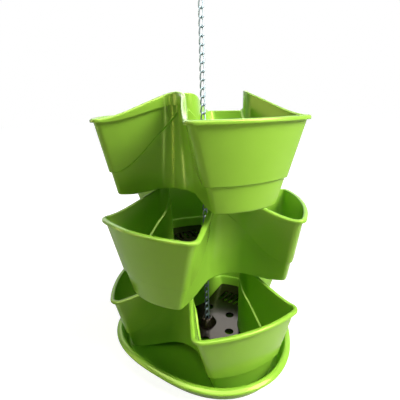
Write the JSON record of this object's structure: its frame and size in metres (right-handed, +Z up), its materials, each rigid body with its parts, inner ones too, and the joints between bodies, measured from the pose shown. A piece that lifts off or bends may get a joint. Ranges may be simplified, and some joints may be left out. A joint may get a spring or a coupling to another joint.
{
  "type": "vertical planter tower",
  "caption": "Vertical planter tower of clover-shaped plastic pots, stacked alternately turned over a saucer and threaded on a hanging chain, with perforated watering inserts.",
  "frame": {"origin": "middle of the saucer's underside, on the chain's axis, at the object's lowest plane", "axes": "+Z up along the chain; -Y towards one lobe of the bottom and top pots; the middle pot is turned by 60 degrees, so one of its lobes points to +Y"},
  "size_m": [0.2988, 0.2931, 0.5353],
  "materials": {
    "pot_plastic": "glossy injection-moulded lime green",
    "insert_plastic": "glossy injection-moulded brown-black",
    "galvanised_steel": "bright zinc-plated wire"
  },
  "bodies": {
    "root": {"saucer": "pot_plastic", "anchor_pin": "galvanised_steel", "chain_link_01": "galvanised_steel", "chain_link_02": "galvanised_steel", "chain_link_03": "galvanised_steel", "chain_link_04": "galvanised_steel", "chain_link_05": "galvanised_steel", "chain_link_06": "galvanised_steel", "chain_link_07": "galvanised_steel", "chain_link_08": "galvanised_steel", "chain_link_09": "galvanised_steel", "chain_link_10": "galvanised_steel", "chain_link_11": "galvanised_steel", "chain_link_12": "galvanised_steel", "chain_link_13": "galvanised_steel", "chain_link_14": "galvanised_steel", "chain_link_15": "galvanised_steel", "chain_link_16": "galvanised_steel", "chain_link_17": "galvanised_steel", "chain_link_18": "galvanised_steel", "chain_link_19": "galvanised_steel", "chain_link_20": "galvanised_steel", "chain_link_21": "galvanised_steel", "chain_link_22": "galvanised_steel", "chain_link_23": "galvanised_steel", "chain_link_24": "galvanised_steel", "chain_link_25": "galvanised_steel", "chain_link_26": "galvanised_steel", "chain_link_27": "galvanised_steel", "chain_link_28": "galvanised_steel", "chain_link_29": "galvanised_steel", "chain_link_30": "galvanised_steel", "chain_link_31": "galvanised_steel", "chain_link_32": "galvanised_steel", "chain_link_33": "galvanised_steel", "chain_link_34": "galvanised_steel", "chain_link_35": "galvanised_steel", "chain_link_36": "galvanised_steel", "chain_link_37": "galvanised_steel", "chain_link_38": "galvanised_steel", "chain_link_39": "galvanised_steel", "chain_link_40": "galvanised_steel", "chain_link_41": "galvanised_steel", "chain_link_42": "galvanised_steel", "chain_link_43": "galvanised_steel", "chain_link_44": "galvanised_steel", "chain_link_45": "galvanised_steel", "chain_link_46": "galvanised_steel", "chain_link_47": "galvanised_steel", "hook": "galvanised_steel"},
    "bottom_pot": {"bottom_pot": "pot_plastic"},
    "bottom_insert": {"bottom_insert": "insert_plastic"},
    "middle_pot": {"middle_pot": "pot_plastic"},
    "middle_insert": {"middle_insert": "insert_plastic"},
    "top_pot": {"top_pot": "pot_plastic"},
    "top_insert": {"top_insert": "insert_plastic"}
  },
  "joints": [
    {"name": "bottom_pot_lift", "type": "slide", "parent": "root", "child": "bottom_pot", "axis": [0, 0, 1], "range_m": [0, 0.05]},
    {"name": "bottom_insert_lift", "type": "slide", "parent": "bottom_pot", "child": "bottom_insert", "axis": [0, 0, 1], "range_m": [0, 0.06]},
    {"name": "middle_pot_lift", "type": "slide", "parent": "bottom_pot", "child": "middle_pot", "axis": [0, 0, 1], "range_m": [0, 0.05]},
    {"name": "middle_insert_lift", "type": "slide", "parent": "middle_pot", "child": "middle_insert", "axis": [0, 0, 1], "range_m": [0, 0.06]},
    {"name": "top_pot_lift", "type": "slide", "parent": "middle_pot", "child": "top_pot", "axis": [0, 0, 1], "range_m": [0, 0.05]},
    {"name": "top_insert_lift", "type": "slide", "parent": "top_pot", "child": "top_insert", "axis": [0, 0, 1], "range_m": [0, 0.06]}
  ]
}
